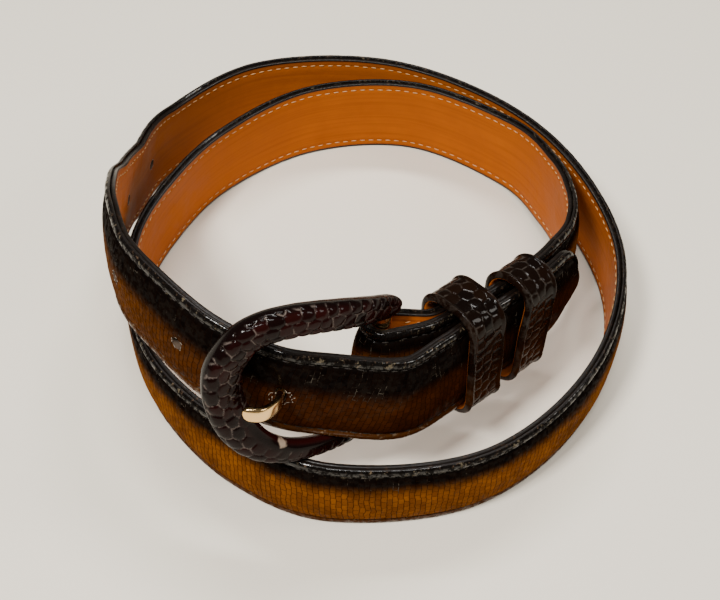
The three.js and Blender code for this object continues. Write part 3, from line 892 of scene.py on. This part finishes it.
def frame_cover():
    stations, size = frame_stations(0.19)
    ring = leg_ring(108)
    half = np.array([FRAME_THICKNESS / 2, LEG_WIDTH / 2])
    pairs = ring[None] * half * size[:, None, None]
    share = stations["distance"] / stations["distance"][-1]
    curve_zone = smooth(share, 0.3, 0.44) * (1 - smooth(share, 0.56, 0.68))
    widened = 1 + 0.36 * curve_zone[:, None]
    pairs[..., 1] = np.where(pairs[..., 1] < 0, pairs[..., 1] * widened, pairs[..., 1])
    step = np.roll(pairs, -1, 1) - np.roll(pairs, 1, 1)
    normal = unit(np.stack([step[..., 1], -step[..., 0]], 2))
    around = pairs[..., 1]
    length = stations["distance"][:, None] + 0 * around
    border, tone = plates(length, around, 3.1, 2.5, 11)
    facing = smooth(normal[..., 0], -0.15, 0.45)
    low_arm = 1 - smooth(length, 0.36 * length.max(), 0.5 * length.max())
    facing = facing * (1 - low_arm * (1 - smooth(normal[..., 1], -0.25, 0.1)))
    crease = (1 - smooth(border, 0.02, 0.26)) * facing
    line = (1 - smooth(border, 0.05, 0.17)) * facing
    dome = smooth(border, 0.0, 1.0) * facing
    wrinkle = 0.06 * ripple(length, around * 2, 7.0, 21)
    lift = 0.16 * dome - 0.2 * crease * facing - 0.12 * facing + wrinkle
    rings = pairs + normal * lift[..., None] * np.clip(size, 0.3, 1)[:, None, None]
    mesh, row, column = swept_mesh("frame_cover", stations, rings, around)
    inner = smooth(-normal[..., 1], 0.5, 0.9)
    outer = smooth(normal[..., 1], 0.6, 0.95)
    shade = tone * 0.75 * facing + 0.9 * inner * (1 - facing) + 0.05
    shade = shade * (1 - 0.8 * outer)
    mark(mesh, "crease", line[row, column])
    mark(mesh, "tone", np.clip(shade, 0, 1)[row, column])
    chip = np.hypot((length - CHIP_LENGTH) / 1.5, (normal[..., 1] + 0.72) / 0.42)
    chip = chip + 0.45 * ripple(length, around * 1.5, 1.2, 51)
    mark(mesh, "rubbed", (1 - smooth(chip, 0.5, 1.0))[row, column])
    close_seams(mesh)
    return mesh


add_piece("frame_cover", frame_cover(), [buckle_leather], "buckle_frame")


def basis(centre, x_way, y_way, z_way):
    matrix = Matrix.Identity(4)
    for column, way in enumerate((x_way, y_way, z_way)):
        for row in range(3):
            matrix[row][column] = way[row]
    world = to_world(np.asarray(centre))
    for row in range(3):
        matrix[row][3] = world[row]
    return matrix


def bar_basis():
    side = np.cross(frame_up, fold_start["along"])
    return basis(bar_centre, fold_start["along"], side, frame_up)


def add_rod(work, radius, length, segments, matrix):
    bmesh.ops.create_cone(
        work,
        cap_ends=True,
        segments=segments,
        radius1=radius * METRE,
        radius2=radius * METRE,
        depth=length * METRE,
        matrix=matrix,
    )


def bar_mesh():
    work = bmesh.new()
    add_rod(work, BAR_RADIUS, 2 * FRAME_HALF_HEIGHT * BAR_SHARE, 40, bar_basis())
    rims = [edge for edge in work.edges if edge.calc_face_angle(0) > 1]
    bmesh.ops.bevel(
        work, geom=rims, offset=0.0003, segments=3, profile=0.5, affect="EDGES", material=-1
    )
    return mesh_from("buckle_bar", work)


add_piece("buckle_bar", bar_mesh(), [brass], "buckle_frame")

# Prong
TONGUE_END = FRAME_REACH - LEG_WIDTH / 2 + PRONG_OVERLAP
TONGUE_SEAT = FRAME_THICKNESS / 2 + FIT_GAP + PRONG_THICKNESS / 2


def tongue_line():
    along = np.array([row[0] for row in TONGUE_TABLE])
    out = np.array([row[1] for row in TONGUE_TABLE])
    return frame_points(along * TONGUE_END, -along * TONGUE_DROP, out * TONGUE_SEAT)


def tongue_stations(count, extension=0.0):
    rows = tongue_line()
    shares, lengths = length_table(rows)
    length = np.linspace(0, lengths[-1], count)
    place = np.interp(length, lengths, shares)
    point = line_points(rows, place)
    along = line_ways(rows, place)
    point[-1] += along[-1] * extension
    return {
        "point": point,
        "out": unit(-np.cross(along, frame_up)),
        "up": np.repeat(-frame_up[None], count, 0),
        "distance": length,
    }


def rounded_ring(half_out, half_up, count, power=0.62):
    angle = np.linspace(0, 2 * math.pi, count, endpoint=False) - math.pi / 2
    out = np.sign(np.cos(angle)) * np.abs(np.cos(angle)) ** power * half_out
    up = np.sign(np.sin(angle)) * np.abs(np.sin(angle)) ** power * half_up
    return np.stack([out, up], 1)


def tongue_mesh(name, count, growth, round_end):
    stations = tongue_stations(count, growth)
    ring = rounded_ring(PRONG_THICKNESS / 2 + growth, PRONG_WIDTH / 2 + growth, 28)
    length = stations["distance"]
    end = np.clip(1 - (length[-1] - length) / (PRONG_WIDTH / 2), 0, 1)
    size = np.sqrt(1 - 0.96 * end**2) if round_end else np.ones(count)
    rings = ring[None] * size[:, None, None]
    mesh, _, _ = swept_mesh(name, stations, rings, rings[..., 1])
    close_seams(mesh)
    return mesh


def ring_mesh(name):
    work = bmesh.new()
    inner = BAR_RADIUS + FIT_GAP
    middle = inner + PRONG_RING_WALL / 2
    count = 20
    profile = []
    for out, up in rounded_ring(PRONG_RING_WALL / 2, PRONG_WIDTH / 2, count):
        profile.append(work.verts.new(((middle + out) * METRE, 0, up * METRE)))
    edges = [work.edges.new((profile[index], profile[(index + 1) % count])) for index in range(count)]
    bmesh.ops.spin(
        work,
        geom=profile + edges,
        cent=(0, 0, 0),
        axis=(0, 0, 1),
        angle=2 * math.pi,
        steps=48,
        use_merge=True,
    )
    bmesh.ops.remove_doubles(work, verts=work.verts, dist=MERGE_DISTANCE)
    bmesh.ops.recalc_face_normals(work, faces=work.faces)
    bmesh.ops.transform(work, matrix=bar_basis(), verts=work.verts)
    return mesh_from(name, work)


def plain_object(name, mesh, material):
    mesh.materials.append(material)
    made = bpy.data.objects.new(name, mesh)
    bpy.context.scene.collection.objects.link(made)
    return made


def boolean(target, tool, operation):
    change = target.modifiers.new(operation.lower(), "BOOLEAN")
    change.operation = operation
    change.solver = "EXACT"
    change.object = tool
    change.material_mode = "TRANSFER"
    bpy.context.view_layer.update()
    graph = bpy.context.evaluated_depsgraph_get()
    result = bpy.data.meshes.new_from_object(target.evaluated_get(graph))
    target.modifiers.clear()
    old = target.data
    target.data = result
    bpy.data.meshes.remove(old)
    result.name = target.name
    bpy.data.objects.remove(tool)


prong_piece = add_piece(
    "brass_prong", tongue_mesh("brass_prong", 70, 0.0, True), [brass], "buckle_prong"
)
boolean(prong_piece, plain_object("ring_tool", ring_mesh("ring_tool"), brass), "UNION")
prong_piece.data.polygons.foreach_set("use_smooth", [True] * len(prong_piece.data.polygons))


# Holes, and the slot in the fold for the prong's ring
def used_hole():
    middle = tongue_stations(21)["point"]
    distances = np.arange(seat_distance, STRAP_LENGTH - TIP_LENGTH, 0.5)
    stations = strap_stations(distances)
    centres = stations["point"] + stations["out"] * (PAD_TOP - LINING_BACK) / 2
    miss = np.linalg.norm(centres[:, None] - middle[None], axis=2).min(1)
    return distances[int(np.argmin(miss))]


USED_HOLE = used_hole()
hole_places = [USED_HOLE - index * HOLE_SPACING for index in range(1, HOLE_COUNT)]


def hole_tool():
    work = bmesh.new()
    depth = 3 * (PAD_TOP + LINING_BACK)
    for place in hole_places:
        at = station_at(place)
        sideways = np.cross(at["out"], at["up"])
        matrix = basis(at["point"], at["up"], -sideways, at["out"])
        add_rod(work, HOLE_DIAMETER / 2, depth, 32, matrix)
    slot_reach = 7.0
    slot_half = PRONG_WIDTH / 2 + FIT_GAP
    lane = joined(
        [
            flap_stations(np.linspace(slot_reach, 0, 6)[:-1]),
            fold_stations(np.linspace(math.pi, 0, 25)[:-1]),
            strap_stations(np.linspace(0, slot_reach, 6)),
        ]
    )
    inner = -LINING_BACK - FIT_GAP / 2
    outer = PAD_TOP + FIT_GAP / 2
    ring = np.array([(inner, -slot_half), (outer, -slot_half), (outer, slot_half), (inner, slot_half)])
    rings = np.repeat(ring[None], len(lane["distance"]), 0)
    slot_mesh, _, _ = swept_mesh("slot_tool", lane, rings, rings[..., 1])
    close_seams(slot_mesh)
    work.from_mesh(slot_mesh)
    bpy.data.meshes.remove(slot_mesh)
    bmesh.ops.recalc_face_normals(work, faces=work.faces)
    return plain_object("hole_tool", mesh_from("hole_tool", work), hole_wall)


def tunnel_tool():
    mesh = tongue_mesh("tunnel_tool", 40, FIT_GAP, False)
    return plain_object("tunnel_tool", mesh, hole_wall)


leather_piece = add_piece(
    "strap_outer", leather_mesh, [outer_leather, edge_paint], "strap_leather"
)
use_second_material(leather_piece.data, "painted")
lining_piece = add_piece(
    "strap_inner", lining_mesh, [tan_lining, edge_paint], "strap_lining"
)
use_second_material(lining_piece.data, "painted")
for piece in (leather_piece, lining_piece):
    boolean(piece, hole_tool(), "DIFFERENCE")
    boolean(piece, tunnel_tool(), "DIFFERENCE")


# Many small rounded bits in one mesh, gathered a few at a time
def beads_mesh(name, places, u_segments, v_segments):
    batch_mesh = bpy.data.meshes.new(name + "_batch")
    work = bmesh.new()
    batch_size = 24
    for start in range(0, len(places), batch_size):
        batch = bmesh.new()
        for place in places[start : start + batch_size]:
            bmesh.ops.create_uvsphere(
                batch, u_segments=u_segments, v_segments=v_segments, radius=1.0, matrix=place
            )
        bmesh.ops.recalc_face_normals(batch, faces=batch.faces)
        batch.to_mesh(batch_mesh)
        batch.free()
        work.from_mesh(batch_mesh)
    bpy.data.meshes.remove(batch_mesh)
    return mesh_from(name, work)


# Stitches: short raised threads in the grooves of both faces
STITCH_PITCH = 2.6
STITCH_SIZE = (1.8, 0.3, 0.4)


def stitch_piece(name, out, spot, material, node):
    places = []
    main = strap_stations(np.arange(3.0, BODY_END + 1.5, STITCH_PITCH))
    flap = flap_stations(np.arange(7.0, FLAP_LENGTH - 1.5, STITCH_PITCH))
    fold = fold_stations(np.linspace(math.pi * 0.9, 0.1 * math.pi, 4))
    stations = joined([main, flap, fold])
    source = random.Random(7)
    for index in range(len(stations["distance"])):
        for side in (-1, 1):
            place = stations["point"][index] + stations["out"][index] * out
            place = place + stations["up"][index] * (spot * side + source.uniform(-0.08, 0.08))
            way = stations["along"][index] + stations["up"][index] * source.uniform(-0.05, 0.05)
            shape = Matrix.Diagonal([size / 2 * METRE for size in STITCH_SIZE] + [1.0])
            turn = basis(place, way, stations["up"][index], stations["out"][index])
            places.append(turn @ shape)
    add_piece(name, beads_mesh(name, places, 6, 5), [material], node)


lining_out = -LINING_BACK + 0.06
groove_out = RIM_TOP - GROOVE_DEPTH + 0.06
groove_up = HALF_STRAP - GROOVE_INSET
stitch_piece(
    "lining_stitches", lining_out, STITCH_UP, cream_thread, "strap_lining"
)
stitch_piece(
    "leather_stitches", groove_out, groove_up, dark_thread, "strap_leather"
)


# Pale fibres that stand round the holes: their length, width and height as ranges
FIBRE_SIZES = ((0.2, 0.5), (0.06, 0.12), (0.05, 0.1))


def fibre_mesh():
    bits = []
    source = random.Random(31)
    places = [(place, HOLE_DIAMETER / 2, 7, 0.6) for place in hole_places]
    places.append((USED_HOLE, 2.1, 24, 1.1))
    for distance, radius, count, mess in places:
        station = station_at(distance)
        for out in (PAD_TOP - 0.02, -LINING_BACK + 0.02):
            for index in range(count):
                angle = 2 * math.pi * (index + source.uniform(-0.3, 0.3)) / count
                reach = radius + source.uniform(-0.3, 0.6) * mess
                place = station["point"] + station["out"] * out
                place = place + station["along"] * math.cos(angle) * reach
                place = place + station["up"] * math.sin(angle) * reach
                way = station["up"] * math.cos(angle) - station["along"] * math.sin(angle)
                away = station["along"] * math.cos(angle) + station["up"] * math.sin(angle)
                twist = source.uniform(-1, 1) * mess
                way, away = (
                    way * math.cos(twist) + away * math.sin(twist),
                    away * math.cos(twist) - way * math.sin(twist),
                )
                sizes = [source.uniform(low, high) * METRE for low, high in FIBRE_SIZES]
                turn = basis(place, way, away, np.cross(way, away))
                bits.append(turn @ Matrix.Diagonal(sizes + [1.0]))
    return beads_mesh("hole_fibres", bits, 6, 4)


add_piece("hole_fibres", fibre_mesh(), [fibre], "strap_leather")


# Keepers: loops of plated leather with rolled rims and a tan inner face
def keeper_loop(inner, outer, half, count):
    centre = (inner + outer) / 2
    half_out = (outer - inner) / 2
    corner = min(KEEPER_CORNER, half_out)
    straight_out = 2 * (half_out - corner)
    straight_up = 2 * (half - corner)
    quarter = corner * math.pi / 2
    total = 2 * straight_out + 2 * straight_up + 4 * quarter
    spots = np.linspace(0, total, count, endpoint=False)
    parts = [straight_up, quarter, straight_out, quarter, straight_up, quarter, straight_out, quarter]
    starts = np.concatenate([[0], np.cumsum(parts)])
    place = np.zeros((count, 2))
    away = np.zeros((count, 2))
    for leg in range(4):
        angle = leg * math.pi / 2
        face = np.array([math.cos(angle), math.sin(angle)])
        travel = np.array([-math.sin(angle), math.cos(angle)])
        reach = half_out if leg % 2 == 0 else half
        run = (straight_up if leg % 2 == 0 else straight_out) / 2
        inside = (spots >= starts[2 * leg]) & (spots < starts[2 * leg + 1])
        step = (spots[inside] - starts[2 * leg] - run)[:, None]
        place[inside] = face * reach + travel * step
        away[inside] = face
        bend = (spots >= starts[2 * leg + 1]) & (spots < starts[2 * leg + 2])
        curl = ((spots[bend] - starts[2 * leg + 1]) / corner)[:, None]
        turned = face * np.cos(curl) + travel * np.sin(curl)
        place[bend] = face * (reach - corner) + travel * run + turned * corner
        away[bend] = turned
    place[:, 0] += centre
    return place, away, spots


def keeper_ring():
    half = KEEPER_WIDTH / 2
    outside = []
    for share in np.linspace(1, -1, 53):
        place = abs(share) * half
        bead = 0.34 * math.exp(-(((place - half + 0.75) / 0.5) ** 2))
        edge = 0.9 * smooth(np.array([place]), half - 0.55, half)[0] ** 2
        outside.append((KEEPER_WALL - 0.38 + bead - edge, share * half))
    inside = [(0.35, -half), (0.0, -half + 0.3)]
    inside += [(0.0, spot) for spot in np.linspace(-half + 1.2, half - 1.2, 7)]
    inside += [(0.0, half - 0.3), (0.35, half)]
    return np.array(outside[::-1]), np.array(inside[::-1])


def keeper_mesh(name, distance, inner_face, seed):
    centre = station_at(distance)
    inner = inner_face - KEEPER_CLEARANCE
    outer = LAYER_PITCH + PAD_TOP + KEEPER_CLEARANCE
    place, away, spots = keeper_loop(inner, outer, HALF_STRAP + KEEPER_SLACK, 420)
    stations = {
        "point": centre["point"] + centre["out"] * place[:, :1] + centre["up"] * place[:, 1:2],
        "out": centre["out"] * away[:, :1] + centre["up"] * away[:, 1:2],
        "up": np.repeat(-centre["along"][None], len(spots), 0),
        "distance": spots,
    }
    outside, inside = keeper_ring()
    ring = np.concatenate([outside, inside])
    face = np.arange(len(ring)) < len(outside)
    length = spots[:, None] + 0 * ring[None, :, 0]
    width = ring[None, :, 1] + 0 * length
    border, tone = plates(length, width, 3.2, 2.7, seed)
    flat = face[None] * (1 - smooth(np.abs(width), KEEPER_WIDTH / 2 - 1.9, KEEPER_WIDTH / 2 - 1.2))
    crease = (1 - smooth(border, 0.02, 0.24)) * flat
    line = (1 - smooth(border, 0.05, 0.16)) * flat
    dome = smooth(border, 0.0, 0.9) * flat
    wrinkle = 0.12 * ripple(length, width * 1.5, 6.0, seed) * face[None]
    lift = 0.07 * dome - 0.09 * crease - 0.04 * flat + np.minimum(wrinkle, 0.1)
    rings = np.repeat(ring[None], len(spots), 0)
    rings[..., 0] += lift
    rings[..., 1] += 0.25 * ripple(length, width * 0.1, 14.0, seed + 1) * np.sign(width)
    mesh, row, column = swept_mesh(name, stations, rings, width, closed=True)
    rim = smooth(np.abs(width), KEEPER_WIDTH / 2 - 1.1, KEEPER_WIDTH / 2 - 0.6) * face[None]
    mark(mesh, "crease", np.clip(line + 0.4 * rim, 0, 1)[row, column])
    # Painted reflection: the keeper's lower part shifts towards the warm amber of a yellow floor
    # mirrored in it
    low = smooth(-place[:, 1:2] + 0 * width, -1.0, 8.0)
    mark(mesh, "tone", (0.12 * tone + (0.35 + 0.3 * tone) * low)[row, column])
    mark(mesh, "rubbed", 0 * row)
    mark(mesh, "inside", (~face)[column])
    close_seams(mesh)
    return mesh


def keeper_piece(name, distance, inner_face, seed, node):
    mesh = keeper_mesh(name, distance, inner_face, seed)
    add_piece(name, mesh, [keeper_leather, tan_lining], node)
    use_second_material(mesh, "inside")


keeper_piece("keeper_near_loop", KEEPER_NEAR_PLACE, -FLAP_SPACING - PAD_TOP, 41, "keeper_near")
keeper_piece("keeper_far_loop", KEEPER_FAR_PLACE, -LINING_BACK, 43, "keeper_far")


# Floor and lights
def floor_material():
    look = Surface("pale_floor", Roughness=0.7)
    look.link(look.blend(look.grain(3.0), (0.8, 0.74, 0.62, 1), (0.84, 0.78, 0.66, 1)), "Base Color")
    return look.material


floor_work = bmesh.new()
bmesh.ops.create_grid(floor_work, x_segments=4, y_segments=4, size=1.5)
floor = plain_object("floor", mesh_from("floor", floor_work), floor_material())


def add_light(name, place, target, size, power, colour, shine=1.0):
    data = bpy.data.lights.new(name, "AREA")
    data.shape = "RECTANGLE"
    data.size, data.size_y = size
    data.energy = power
    data.color = colour
    data.specular_factor = shine
    lamp = bpy.data.objects.new(name, data)
    lamp.location = place
    way = Vector(target) - Vector(place)
    lamp.rotation_euler = way.to_track_quat("-Z", "Y").to_euler()
    bpy.context.scene.collection.objects.link(lamp)


add_light("key", (-0.3, -0.3, 0.75), (0, 0, 0.02), (0.15, 0.15), 8.5, (1.0, 0.97, 0.93))
add_light("back", (0.05, 0.35, 0.75), (0, 0, 0.03), (0.5, 0.07), 4.5, (1.0, 0.98, 0.96))
add_light("side", (0.7, -0.1, 0.5), (0, 0, 0.02), (0.15, 0.3), 1.8, (1.0, 0.96, 0.9), 0.25)
add_light("front", (0.03, -0.3, 0.7), (0, 0, 0.02), (0.3, 0.05), 2.2, (1.0, 0.98, 0.96))

world = bpy.data.worlds.new("studio")
world.use_nodes = True
background = world.node_tree.nodes["Background"].inputs
background["Color"].default_value = (1.0, 0.97, 0.92, 1.0)
background["Strength"].default_value = 0.14
bpy.context.scene.world = world
